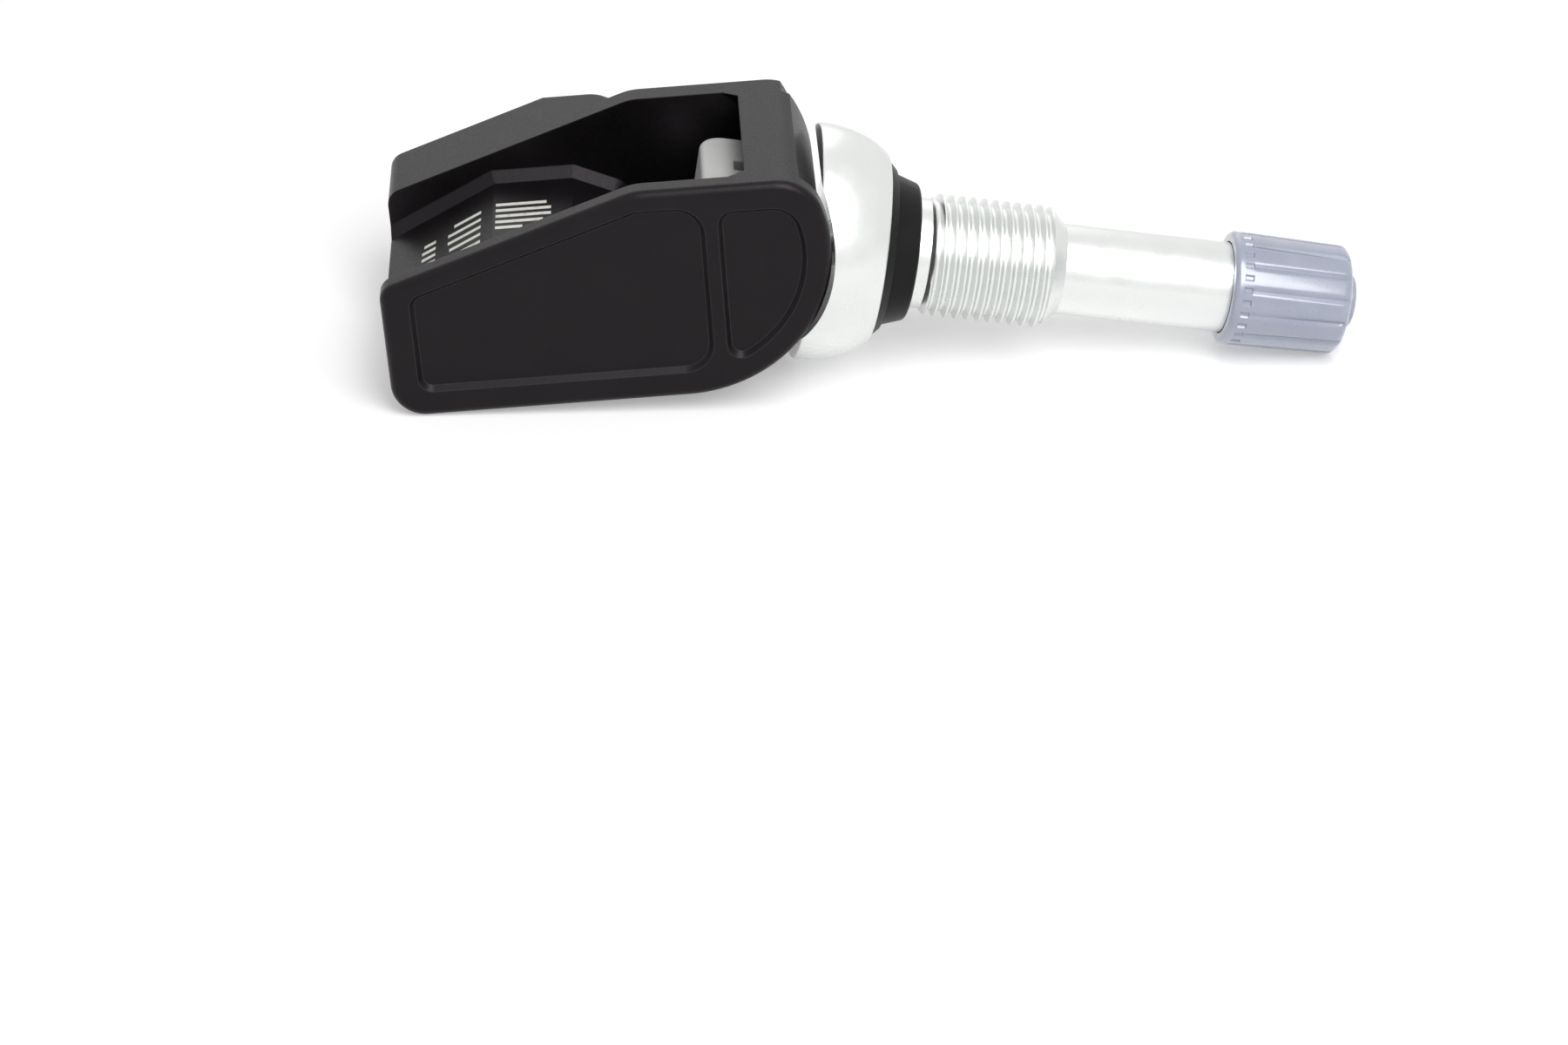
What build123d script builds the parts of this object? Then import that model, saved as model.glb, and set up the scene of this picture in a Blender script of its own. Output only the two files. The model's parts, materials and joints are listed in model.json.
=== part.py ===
from build123d import *
import os
from math import asin, atan2, cos, degrees, hypot, radians, sin, sqrt, tan

# Tyre pressure sensor on a clamp-in valve. All sizes are in millimetres.
# The housing is drawn with the tilt axis as origin, the valve with a point of its own axis just
# below. x runs towards the valve, y away from the side with the sunk panels, z up.
# Both groups are then laid on the ground.

# Housing, side view
cheek_end_radius = 13.25     # round end of the cheeks about the tilt axis, also base to axis
cheek_top = 6.85             # flat top of the cheeks above the tilt axis
blunt_wall = 2.5             # solid foot between the electronics and the blunt end
blunt_end_height = 12.55     # cheek height at the blunt end
bend_back = 3.4              # tilt axis back to the bend of the cheeks' top line
base_corner = 3.0            # radius at the foot of the blunt end
blunt_corner = 1.6           # radius at the top of the blunt end
bend_radius = 5.0
nose_corner = 4.2            # radius where the flat top meets the round end
edge_round = 0.8             # moulded edge of the outer faces

# Housing, across
cheek_thickness = 2.1
shoulder_drop = 2.7          # flat of the far shoulder below the cheeks' top
shoulder_back = 0.3          # tilt axis back to the end of the shoulder's slant
shoulder_corner = 2.4        # where the far face turns into the slant
shoulder_round = 0.8         # moulded edge of the far face

# Electronics box between the cheeks
hump_flat_start = 16.1       # tilt axis back to both ends of the hump's flat
hump_flat_end = 9.1
hump_fall = 25.0             # degrees, towards the basin
basin_back = 5.0             # tilt axis back to the basin's upright wall
basin_corner = 1.0
cove = 0.9                   # slope where the hump meets the cheeks
hump_wall = 1.4
box_wall = 1.6

# Curved wall that bridges the cheeks, and its slot
wall_setback = 0.75          # behind the near cheek's round end
far_setback = 1.5            # far cheek's end behind the near one's
far_end_back = 2.2           # tilt axis back to the centre of the far cheek's end
wall_thickness = 3.25
slot_gap = 0.4               # slot to the clamp screw

# Sunk panels on the outer face of the near cheek
panel_depth = 0.5
panel_draft = 40.0           # degrees
panel_border = 2.1
panel_end_border = 2.9
panel_base_border = 2.9
panel_rib_start = 2.1        # the rib between the panels, ahead of the tilt axis
panel_rib_end = 4.05
panel_drop = 2.7             # top of the nose panel below the cheeks' top
panel_nose_border = 2.6
panel_corner = 0.9
panel_big_corner = 2.2

# Cover and electronics
cover_thickness = 1.2
cover_inset = 0.3
cover_ledge = 0.6
fit_gap = 0.05               # between pieces that are set into each other
cell_diameter = 16.0
cell_height = 3.2
cell_gap = 0.4               # cell to the walls on either side of it
cell_edge = 0.25
tab_thickness = 0.25
tab_width = 2.6
tab_inset = 2.8              # upper tab inside the cell's rim
board_gap = 1.3              # upper tab to board
board_thickness = 0.8
board_side_gap = 0.3
post_radius = 0.8
chip_size = 5.0              # the strip beside the cell is as wide as the chip needs
chip_gap = 1.0
chip_height = 1.6
port_radius = 0.6
seal_height = 0.7
seal_wall = 0.7
coil_length = 7.6
coil_flange = 2.6
coil_waist = 1.4
coil_flange_length = 1.0
coil_room = 1.95             # coil to the hump's roof
board_room = 0.95            # end of the board to the sloping roof
crystal_length = 3.2
crystal_width = 2.5
crystal_height = 0.9
crystal_corner = 0.3
capacitor_length = 1.6
capacitor_width = 0.8
capacitor_pitch = 1.7
capacitor_count = 4
strip_width = 1.4
strip_thickness = 0.4
strip_rise = 1.2
strip_span = 9.0

# Valve, along its axis from beside the tilt axis
tilt_rest = 12.0             # degrees that the valve points below the housing's base line
tilt_low = 0.0
tilt_high = 30.0
tilt_gap = 0.3               # cheeks' round ends to the flange
valve_drop = 1.7             # valve's axis below the tilt axis
flange_overlap = 1.55        # the flange's back edge inside the cheeks' round ends
flange_length = 6.55
flange_radius = 10.5
flange_dome_radius = 9.4     # where the dome meets the front bevel
flange_front_radius = 8.45
flange_bulge = 0.35
flange_bevel = 1.35          # length of the front bevel
seal_length = 3.05
seal_lip = 0.8
seal_lip_taper = 0.8
seal_step = 0.4
seal_cone_taper = 0.75
seal_nose_wall = 1.1
seal_nose_round = 0.45
undercut_depth = 0.55        # neck under the seal, below the thread's crests
undercut_length = 1.15
thread_radius = 5.45
thread_length = 10.75
thread_chamfer_length = 1.5
stem_radius = 4.05
stem_length = 15.9           # thread to the step under the cap
stem_step = 0.25             # stem to the thinner tip inside the cap
tip_chamfer = 0.4
air_radius = 1.4
core_seat_radius = 2.1
core_seat_length = 7.6
core_thread_radius = 2.6
core_thread_length = 4.0

# Clamp
saddle_back = 1.6            # tilt axis to the saddle's flat face
saddle_half_height = 6.5
saddle_side_gap = 2.8        # to each cheek
saddle_corner = 0.5
saddle_plan_corner = 2.2
saddle_notch = 1.8
saddle_notch_start = 4.5
saddle_gap = 0.08            # to the curved wall
screw_radius = 2.0
screw_grip = 7.25            # length in the stem
screw_gap = 0.05
screw_air_radius = 0.7
head_radius = 3.3
head_height = 2.3
head_round = 0.5
drive_radius = 1.9           # lobed socket
drive_lobes = 6
drive_lobe = 0.55
drive_depth = 1.5

# Valve core
core_gap = 0.05
barrel_wall = 0.75
barrel_floor = 1.2
core_ring_length = 1.6
pin_radius = 0.5
pin_gap = 0.06
pin_head_gap = 0.2
pin_head_thickness = 0.5
pin_tip_length = 2.2         # pin beyond its head
pin_stroke = 2.0
washer_rim = 0.45            # washer inside the barrel's outline
washer_height = 1.2
spring_wire = 0.3
spring_turns = 6

# Cap
cap_wall = 1.2
cap_taper = 0.22
cap_length = 10.8
cap_skirt = 1.3
cap_top = 1.9
cap_edge = 0.9
cap_mouth_edge = 0.45
cap_thread_gap = 0.1
cap_nub_radius = 2.45
cap_nub_height = 0.9
cap_nub_round = 0.4
cap_groove_count = 14
cap_groove_start_depth = 0.08
cap_groove_end_depth = 0.35
cap_groove_width = 0.5
cap_lead = 0.8               # mouth of the cap over the step of the stem
gasket_height = 0.9
gasket_gap = 0.03            # gasket to the cap's roof and to the stem's tip

# Worked out from the sizes above
base = -cheek_end_radius
shoulder_top = cheek_top - shoulder_drop
blunt_top = base + blunt_end_height
wall_outer_radius = cheek_end_radius - wall_setback
wall_inner_radius = wall_outer_radius - wall_thickness
slot_half = screw_radius + slot_gap

cell_radius = cell_diameter / 2
half_clear = cell_radius + cell_gap
half_width = half_clear + cheek_thickness
cavity_right = -basin_back - box_wall
cavity_left = cavity_right - 2 * half_clear
cavity_near = -half_clear
cavity_far = cell_radius + chip_size + 2 * chip_gap
far_face = cavity_far + box_wall
shoulder_depth = far_face - half_width
blunt_end = cavity_left - blunt_wall

cover_floor = base + cover_inset
cover_top = cover_floor + cover_thickness
cell_x = (cavity_left + cavity_right) / 2
cell_floor = cover_top + tab_thickness
cell_top = cell_floor + cell_height
board_floor = cell_top + tab_thickness + board_gap
board_top = board_floor + board_thickness
strip_y = (cell_radius + cavity_far) / 2
hump_top = board_top + coil_flange + coil_room + hump_wall
hump_low = board_top + board_room + hump_wall
hump_slope = (hump_top - hump_low) / (-hump_flat_start - cavity_left)
hump_fall_end = hump_top - (hump_flat_end - basin_back) * tan(radians(hump_fall))

flange_back = cheek_end_radius - flange_overlap
neck_radius = thread_radius - undercut_depth
seal_bore = neck_radius + fit_gap
seal_nose_radius = seal_bore + seal_nose_wall
seal_cone_radius = seal_nose_radius + seal_cone_taper
seal_lip_radius = seal_cone_radius + seal_step
seal_radius = seal_lip_radius + seal_lip_taper
tip_radius = stem_radius - stem_step
cap_bore = tip_radius + cap_thread_gap
cap_radius = cap_bore + cap_wall
cap_end_radius = cap_radius - cap_taper

seal_start = flange_back + flange_length
undercut_start = seal_start + seal_length
thread_start = undercut_start + undercut_length
thread_end = thread_start + thread_length
stem_start = thread_end + thread_chamfer_length
stem_end = stem_start + stem_length
cap_mouth = stem_end - cap_lead
cap_end = cap_mouth + cap_length
cap_roof = cap_end - cap_top
tip_end = cap_roof - gasket_height - gasket_gap
core_thread_start = tip_end - core_thread_length
core_seat_start = core_thread_start - core_seat_length
scoop_radius = cheek_end_radius + tilt_gap
beyond = cap_end - blunt_end  # longer than the part, for cuts


def slab(sketch, y_near, y_far):
    """A side-view face, drawn as (x, z), thickened from y_near to y_far."""
    return Pos(0, y_far, 0) * extrude(Plane.XZ * sketch, amount=y_far - y_near)


def block(x_pair, y_pair, z_pair):
    """A box between two corners."""
    size = [pair[1] - pair[0] for pair in (x_pair, y_pair, z_pair)]
    middle = [(pair[0] + pair[1]) / 2 for pair in (x_pair, y_pair, z_pair)]
    return Pos(*middle) * Box(*size)


def turned(*outline):
    """A solid turned about the valve axis from an outline of (station, radius)."""
    return revolve(Plane.XZ * make_face(Polyline(*outline, close=True)), Axis.X)


def rod(start, end, radius):
    """A round bar along the valve axis."""
    return Pos((start + end) / 2, 0, 0) * Rot(0, 90, 0) * Cylinder(radius, end - start)


def rounded(sketch, point, radius):
    """The sketch with the corner nearest to the point rounded."""
    corner = sketch.vertices().sort_by_distance((point[0], point[1], 0))[0]
    return fillet(corner, radius)


def top_line(x):
    """Height of the cheeks' sloping top line."""
    return cheek_top - (-bend_back - x) * (cheek_top - blunt_top) / (-blunt_end - bend_back)


def cheek_outline():
    nose_x = sqrt(cheek_end_radius**2 - cheek_top**2)
    foot = (0, base)
    knee = (cheek_end_radius * cos(radians(45)), base * sin(radians(45)))
    back = Polyline((nose_x, cheek_top), (-bend_back, cheek_top), (blunt_end, blunt_top),
                    (blunt_end, base), foot)
    face = make_face([back, ThreePointArc(foot, knee, (nose_x, cheek_top))])
    face = rounded(face, (nose_x, cheek_top), nose_corner)
    face = rounded(face, (-bend_back, cheek_top), bend_radius)
    face = rounded(face, (blunt_end, blunt_top), blunt_corner)
    return rounded(face, (blunt_end, base), base_corner)


def hump_space():
    """The open space above the hump, as a side-view face."""
    low = hump_top - hump_slope * (beyond - hump_flat_start)
    return make_face(Polyline((-beyond, low), (-hump_flat_start, hump_top), (-hump_flat_end, hump_top),
                              (-basin_back, hump_fall_end), (-basin_back, beyond), (-beyond, beyond),
                              close=True))


def open_space():
    """The space between the cheeks: over the hump and down into the round basin."""
    basin = Circle(wall_inner_radius) - Pos(-basin_back - beyond, 0) * Rectangle(2 * beyond, 2 * beyond)
    face = hump_space() + basin
    floor = -sqrt(wall_inner_radius**2 - basin_back**2)
    face = rounded(face, (-basin_back, floor), basin_corner)
    face = rounded(face, (-basin_back, hump_fall_end), basin_corner)
    space = slab(face, -half_clear, half_clear)
    side_edges = space.edges().filter_by(Axis.Y, reverse=True).filter_by(Axis.Z, reverse=True)
    over_hump = [edge for edge in side_edges
                 if edge.center().X < -basin_back - basin_corner and edge.center().Z < cheek_top]
    return chamfer(over_hump, cove)


def shoulder():
    """The far wall where it stands out round the electronics box."""
    side = cheek_outline() & Pos(0, shoulder_top - beyond) * Rectangle(4 * beyond, 2 * beyond)
    plan = make_face(Polyline((blunt_end, half_clear), (blunt_end, far_face),
                              (-shoulder_back - shoulder_depth, far_face),
                              (-shoulder_back, half_width), (-shoulder_back, half_clear), close=True))
    plan = rounded(plan, (-shoulder_back - shoulder_depth, far_face), shoulder_corner)
    column = Pos(0, 0, -beyond) * extrude(plan, amount=2 * beyond)
    return slab(side, half_clear, far_face) & column


def long_panel():
    """Sunk field behind the rib: follows the cheek's slope and base."""
    low = base + panel_base_border
    left = blunt_end + panel_end_border
    high = cheek_top - panel_border
    face = make_face(Polyline((left, low), (panel_rib_start, low), (panel_rib_start, high),
                              (-bend_back, high), (left, top_line(left) - panel_border), close=True))
    face = rounded(face, (panel_rib_start, low), panel_big_corner)
    face = rounded(face, (panel_rib_start, high), panel_big_corner)
    face = rounded(face, (left, low), panel_corner)
    return rounded(face, (left, top_line(left) - panel_border), panel_corner)


def nose_panel():
    """Sunk field ahead of the rib: concentric with the round end."""
    radius = cheek_end_radius - panel_nose_border
    high = cheek_top - panel_drop
    face = Circle(radius) & Pos(panel_rib_end + beyond, high - beyond) * Rectangle(2 * beyond, 2 * beyond)
    face = rounded(face, (panel_rib_end, high), panel_corner)
    face = rounded(face, (sqrt(radius**2 - high**2), high), panel_big_corner)
    return rounded(face, (panel_rib_end, -sqrt(radius**2 - panel_rib_end**2)), panel_corner)


def sunk(face):
    """A panel cut with sloping sides, open towards the near side."""
    return Pos(0, panel_depth - half_width, 0) * extrude(Plane.XZ * face, amount=panel_depth,
                                                         taper=-panel_draft)


def wall_slot():
    """The slot that the clamp screw slides in, with round ends."""
    sides = []
    for tilt in (tilt_low, tilt_high):
        turn = radians(tilt)
        start = (-valve_drop * sin(turn), -valve_drop * cos(turn))
        sides.append((start, (start[0] + beyond * cos(turn), start[1] - beyond * sin(turn))))
    (low_start, low_end), (high_start, high_end) = sides
    fan = make_face(Polyline(low_start, low_end, (low_end[0], high_end[1]), high_end, high_start,
                             close=True))
    slot = slab(fan, -slot_half, slot_half)
    for tilt in (tilt_low, tilt_high):
        slot += Rot(0, tilt, 0) * Pos(0, 0, -valve_drop) * rod(0, beyond, slot_half)
    return slot


def ahead_of_round_end(centre, radius):
    """What lies ahead of the tilt axis and outside a circle, as a side-view face."""
    ring = Circle(beyond) - Pos(centre, 0) * Circle(radius)
    return ring & Pos(beyond, 0) * Rectangle(2 * beyond, 2 * beyond)


def wall_relief():
    """The bridge wall and the far cheek's flatter end stay behind the near cheek's round end."""
    far_radius = cheek_end_radius - far_setback + far_end_back
    return (slab(ahead_of_round_end(0, wall_outer_radius), -half_clear, half_clear)
            + slab(ahead_of_round_end(-far_end_back, far_radius), half_clear, half_width))


def box_cavity():
    """Room for the electronics, open at the base."""
    span = Pos(cell_x, base) * Rectangle(cavity_right - cavity_left, beyond)
    face = span - Pos(0, -hump_wall) * hump_space()
    return slab(face, cavity_near, cavity_far)


def cover_plate(gap):
    """The cover's plan from the base up, smaller by the gap on each side."""
    reach = cover_ledge - gap
    return block((cavity_left - reach, cavity_right + reach), (cavity_near - reach, cavity_far + reach),
                 (cover_floor, cover_top))


def make_housing_shell():
    body = slab(cheek_outline(), -half_width, half_width)
    near_face = body.faces().sort_by(Axis.Y)[0]
    body = fillet(near_face.edges(), edge_round)
    body += shoulder()
    far_face_edges = body.faces().sort_by(Axis.Y)[-1].edges().sort_by(Axis.X)
    body = fillet(far_face_edges[:-1], shoulder_round)
    body -= open_space()
    body -= wall_relief()
    body -= wall_slot()
    body -= sunk(long_panel())
    body -= sunk(nose_panel())
    body -= box_cavity()
    return body - cover_plate(0) - Pos(0, 0, -cover_inset) * cover_plate(0)


def corner_posts():
    inset = board_side_gap + post_radius
    height = board_floor - cover_top
    for x in (cavity_left + inset, cavity_right - inset):
        for y in (cavity_near + inset, cavity_far - inset):
            yield Pos(x, y, cover_top + height / 2) * Cylinder(post_radius, height)


chip_x = cavity_left + 2 * board_side_gap + 2 * post_radius + chip_size / 2
chip_floor = board_floor - chip_height
port_boss_top = chip_floor - seal_height


def make_bottom_cover():
    cover = cover_plate(fit_gap)
    for post in corner_posts():
        cover += post
    height = port_boss_top - cover_top
    cover += Pos(chip_x, strip_y, cover_top + height / 2) * Cylinder(port_radius + seal_wall, height)
    return cover - Pos(chip_x, strip_y, cover_top) * Cylinder(port_radius, beyond)


def make_port_seal():
    ring = Cylinder(port_radius + seal_wall, seal_height) - Cylinder(port_radius, seal_height)
    return Pos(chip_x, strip_y, port_boss_top + seal_height / 2) * ring


def make_sensor_chip():
    half = chip_size / 2
    chip = block((chip_x - half, chip_x + half), (strip_y - half, strip_y + half),
                 (chip_floor, board_floor))
    return chip - Pos(chip_x, strip_y, chip_floor) * Cylinder(port_radius, chip_height)


def make_circuit_board():
    return block((cavity_left + board_side_gap, cavity_right - board_side_gap),
                 (cavity_near + board_side_gap, cavity_far - board_side_gap), (board_floor, board_top))


def make_battery_cell():
    cell = Pos(cell_x, 0, cell_floor + cell_height / 2) * Cylinder(cell_radius, cell_height)
    return chamfer(cell.edges().filter_by(GeomType.CIRCLE), cell_edge)


def tab(x, z_flat, z_leg):
    """A strip welded to the cell, with a leg up to the board in the strip beside it."""
    half = tab_width / 2
    leg = half_clear
    flat = block((x - half, x + half), (0, leg + tab_thickness), (z_flat, z_flat + tab_thickness))
    return flat + block((x - half, x + half), (leg, leg + tab_thickness), (z_flat, z_leg))


def make_battery_tab_lower():
    return tab(cell_x, cover_top, board_floor)


def make_battery_tab_upper():
    return tab(cell_x + cell_radius - tab_inset, cell_top, board_floor)


coil_x = -(hump_flat_start + hump_flat_end) / 2
coil_z = board_top + coil_flange / 2


def make_coil_core():
    half = coil_length / 2
    core = Pos(coil_x, strip_y, coil_z) * Box(coil_length, coil_waist, coil_waist)
    for x in (coil_x - half + coil_flange_length / 2, coil_x + half - coil_flange_length / 2):
        core += Pos(x, strip_y, coil_z) * Box(coil_flange_length, coil_flange, coil_flange)
    return core


def make_coil_winding():
    length = coil_length - 2 * coil_flange_length - 2 * fit_gap
    outer = (coil_flange + coil_waist) / 2
    inner = coil_waist + 2 * fit_gap
    winding = Box(length, outer, outer)
    winding = fillet(winding.edges().filter_by(Axis.X), (outer - inner) / 2)
    return Pos(coil_x, strip_y, coil_z) * (winding - Box(length, inner, inner))


def make_crystal_can():
    x = coil_x - coil_length / 2 - board_side_gap - crystal_width / 2
    can = Box(crystal_width, crystal_length, crystal_height)
    can = fillet(can.edges().filter_by(Axis.Z), crystal_corner)
    return Pos(x, strip_y, board_top + crystal_height / 2) * can


def make_chip_capacitors():
    row = []
    for index in range(capacitor_count):
        y = (index - (capacitor_count - 1) / 2) * capacitor_pitch
        row.append(Pos(cell_x, y, board_top + capacitor_width / 2)
                   * Box(capacitor_length, capacitor_width, capacitor_width))
    return Compound(children=row)


def make_antenna_strip():
    y = cavity_near + 2 * board_side_gap + 2 * post_radius
    half = strip_span / 2
    arch = block((cell_x - half, cell_x + half), (y, y + strip_width),
                 (board_top, board_top + strip_rise))
    return arch - block((cell_x - half + strip_thickness, cell_x + half - strip_thickness),
                        (y, y + strip_width), (board_top, board_top + strip_rise - strip_thickness))


def make_valve_stem():
    dome_end = seal_start - flange_bevel
    dome_middle = ((flange_back + dome_end) / 2,
                   (flange_radius + flange_dome_radius) / 2 + flange_bulge)
    outline = Polyline((dome_end, flange_dome_radius), (seal_start, flange_front_radius),
                       (seal_start, neck_radius), (thread_start, neck_radius),
                       (thread_start, thread_radius), (thread_end, thread_radius),
                       (stem_start, stem_radius), (stem_end, stem_radius),
                       (stem_end, tip_radius), (tip_end - tip_chamfer, tip_radius),
                       (tip_end, tip_radius - tip_chamfer), (tip_end, 0), (flange_back, 0),
                       (flange_back, flange_radius))
    dome = ThreePointArc((flange_back, flange_radius), dome_middle, (dome_end, flange_dome_radius))
    stem = revolve(Plane.XZ * make_face([outline, dome]), Axis.X)
    stem -= Pos(0, 0, valve_drop) * slab(Circle(scoop_radius), -beyond, beyond)
    stem -= rod(0, scoop_radius + screw_grip, screw_radius)
    stem -= rod(0, tip_end, air_radius)
    stem -= rod(core_seat_start, tip_end, core_seat_radius)
    return stem - rod(core_thread_start, tip_end, core_thread_radius)


def make_stem_seal():
    lip_end = seal_start + seal_lip
    seal = turned((seal_start, seal_bore), (seal_start, seal_radius), (lip_end, seal_lip_radius),
                  (lip_end, seal_cone_radius), (undercut_start, seal_nose_radius),
                  (undercut_start, seal_bore))
    circles = seal.edges().filter_by(GeomType.CIRCLE)
    nose_edge = circles.sort_by(lambda edge: abs(edge.radius - seal_nose_radius))[0]
    return fillet(nose_edge, seal_nose_round)


def make_clamp_saddle():
    face = Pos(0, valve_drop) * Circle(wall_inner_radius - saddle_gap)
    face = face & Pos(saddle_back + beyond, 0) * Rectangle(2 * beyond, 2 * saddle_half_height)
    half = half_clear - saddle_side_gap
    saddle = slab(face, -half, half)
    saddle = fillet(saddle.edges().filter_by(Axis.Z).sort_by(Axis.X)[:2], saddle_plan_corner)
    back_face = saddle.faces().filter_by(Axis.X).sort_by(Axis.X)[0]
    saddle = fillet(back_face.edges().filter_by(Axis.Y), saddle_corner)
    saddle -= block((saddle_notch_start, beyond), (-saddle_notch / 2, saddle_notch / 2),
                    (saddle_half_height - saddle_notch, beyond))
    return saddle - rod(0, beyond, screw_radius + screw_gap)


def make_clamp_screw():
    head_end = saddle_back - head_height
    drive_floor = head_end + drive_depth
    lobe_centre = drive_radius - drive_lobe
    screw = rod(saddle_back, scoop_radius + screw_grip - screw_gap, screw_radius - screw_gap)
    head = rod(head_end, saddle_back, head_radius)
    rim = head.edges().filter_by(GeomType.CIRCLE).sort_by(Axis.X)[0]
    screw += fillet(rim, head_round)
    drive = rod(head_end, drive_floor, lobe_centre)
    for index in range(drive_lobes):
        lobe = Pos(0, lobe_centre, 0) * rod(head_end, drive_floor, drive_lobe)
        drive += Rot(index * 360 / drive_lobes, 0, 0) * lobe
    return screw - drive - rod(-beyond, beyond, screw_air_radius)


barrel_end = tip_end - core_gap
barrel_start = core_seat_start + washer_height + pin_stroke + core_gap
barrel_radius = core_seat_radius - core_gap
barrel_chamber = barrel_radius - barrel_wall
barrel_groove = barrel_radius - barrel_wall / 2
ring_start = barrel_start + barrel_floor
ring_end = ring_start + core_ring_length


def make_core_barrel():
    head_start = core_thread_start + core_gap
    barrel = turned((barrel_start, 0), (barrel_start, barrel_radius), (ring_start, barrel_radius),
                    (ring_start, barrel_groove), (ring_end, barrel_groove), (ring_end, barrel_radius),
                    (head_start, barrel_radius), (head_start, core_thread_radius - core_gap),
                    (barrel_end, core_thread_radius - core_gap), (barrel_end, 0))
    barrel -= rod(ring_start, beyond, barrel_chamber)
    return barrel - rod(0, beyond, pin_radius + pin_gap)


def make_core_ring():
    start = ring_start + fit_gap
    end = ring_end - fit_gap
    bore = barrel_groove + fit_gap
    return turned((start, bore), (start, barrel_radius), (end, barrel_radius), (end, bore))


pin_end = barrel_end - core_gap
pin_head_end = pin_end - pin_tip_length
pin_head_start = pin_head_end - pin_head_thickness


def make_core_pin():
    pin = rod(barrel_start - washer_height, pin_end, pin_radius)
    pin += rod(pin_head_start, pin_head_end, barrel_chamber - pin_head_gap)
    tip = pin.edges().filter_by(GeomType.CIRCLE).sort_by(Axis.X)[-1]
    return fillet(tip, pin_radius / 2)


def make_core_washer():
    washer = rod(barrel_start - washer_height, barrel_start - pin_gap, barrel_radius - washer_rim)
    return washer - rod(0, beyond, pin_radius + pin_gap / 2)


def make_core_spring():
    """The spring's coils as rings of the same wire and pitch, square in section."""
    half = spring_wire / 2
    start = ring_start + half
    end = pin_head_start - half
    radius = (pin_radius + pin_gap + barrel_chamber) / 2
    coils = []
    for index in range(spring_turns):
        x = start + (end - start) * index / (spring_turns - 1)
        coils.append(turned((x - half, radius - half), (x - half, radius + half),
                            (x + half, radius + half), (x + half, radius - half)))
    return Compound(children=coils)


def make_cap_shell():
    mouth_bore = stem_radius + cap_thread_gap
    step = stem_end + cap_thread_gap
    skirt_end = cap_mouth + cap_skirt
    nub_end = cap_end + cap_nub_height
    shell = turned((cap_mouth, mouth_bore), (cap_mouth, cap_radius), (skirt_end, cap_radius),
                   (cap_end, cap_end_radius), (cap_end, cap_nub_radius), (nub_end, cap_nub_radius),
                   (nub_end, 0), (cap_roof, 0), (cap_roof, cap_bore), (step, cap_bore),
                   (step, mouth_bore))
    rounds = [(cap_end, cap_end_radius, cap_edge), (cap_mouth, cap_radius, cap_mouth_edge),
              (nub_end, cap_nub_radius, cap_nub_round)]
    for station, radius, round_radius in rounds:
        circles = shell.edges().filter_by(GeomType.CIRCLE)
        rim = circles.sort_by(lambda edge: hypot(edge.center().X - station, edge.radius - radius))[0]
        shell = fillet(rim, round_radius)
    side = make_face(Polyline((skirt_end, cap_radius - cap_groove_start_depth),
                              (cap_end, cap_end_radius - cap_groove_end_depth),
                              (cap_end, beyond), (skirt_end, beyond), close=True))
    groove = slab(side, -cap_groove_width / 2, cap_groove_width / 2)
    for index in range(cap_groove_count):
        shell -= Rot((index + 0.5) * 360 / cap_groove_count, 0, 0) * groove
    return shell


def make_cap_gasket():
    return rod(cap_roof - gasket_height, cap_roof - gasket_gap, cap_bore - cap_thread_gap)


def rest_pitch():
    """Degrees that the housing pitches up when its foot and the cap's end lie on the ground."""
    tilt = radians(tilt_rest)
    foot_x = -blunt_end - base_corner
    foot_z = cheek_end_radius - base_corner
    cap_x = cap_end - cap_edge
    cap_z = cap_end_radius - cap_edge + valve_drop
    along = foot_x + cap_x * cos(tilt) - cap_z * sin(tilt)
    upright = foot_z - cap_x * sin(tilt) - cap_z * cos(tilt)
    return degrees(asin((cap_edge - base_corner) / hypot(along, upright)) - atan2(upright, along))


housing_pitch = rest_pitch()
valve_pitch = tilt_rest - housing_pitch
axis_height = (base_corner + (-blunt_end - base_corner) * sin(radians(housing_pitch))
               + (cheek_end_radius - base_corner) * cos(radians(housing_pitch)))

housing_place = Pos(0, 0, axis_height) * Rot(0, -housing_pitch, 0)
valve_place = Pos(0, 0, axis_height) * Rot(0, valve_pitch, 0) * Pos(0, 0, -valve_drop)

housing_makers = [make_housing_shell, make_bottom_cover, make_circuit_board, make_battery_cell,
                  make_battery_tab_lower, make_battery_tab_upper, make_sensor_chip, make_port_seal,
                  make_coil_core, make_coil_winding, make_crystal_can, make_chip_capacitors,
                  make_antenna_strip]
valve_makers = [make_valve_stem, make_stem_seal, make_clamp_saddle, make_clamp_screw, make_core_barrel,
                make_core_ring, make_core_pin, make_core_washer, make_core_spring, make_cap_shell,
                make_cap_gasket]

pieces = {}
for maker in housing_makers:
    pieces[maker.__name__.removeprefix("make_")] = housing_place * maker()
for maker in valve_makers:
    pieces[maker.__name__.removeprefix("make_")] = valve_place * maker()

bounds = [piece.bounding_box() for piece in pieces.values()]
middle_x = (min(box.min.X for box in bounds) + max(box.max.X for box in bounds)) / 2
middle_y = (min(box.min.Y for box in bounds) + max(box.max.Y for box in bounds)) / 2
centred = Pos(-middle_x, -middle_y, 0)

os.makedirs("parts", exist_ok=True)
for name, piece in pieces.items():
    export_step(centred * piece, f"parts/{name}.step")

print(f"tilt axis at {-middle_x:.4f} {-middle_y:.4f} {axis_height:.4f}")
print(f"housing pitch {housing_pitch:.4f}, valve pitch {valve_pitch:.4f}")
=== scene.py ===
import json
from math import asin, atan, atan2, ceil, cos, hypot, pi, radians, sin, sqrt, tau

import bmesh
import bpy
from mathutils import Matrix, Vector


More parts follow.
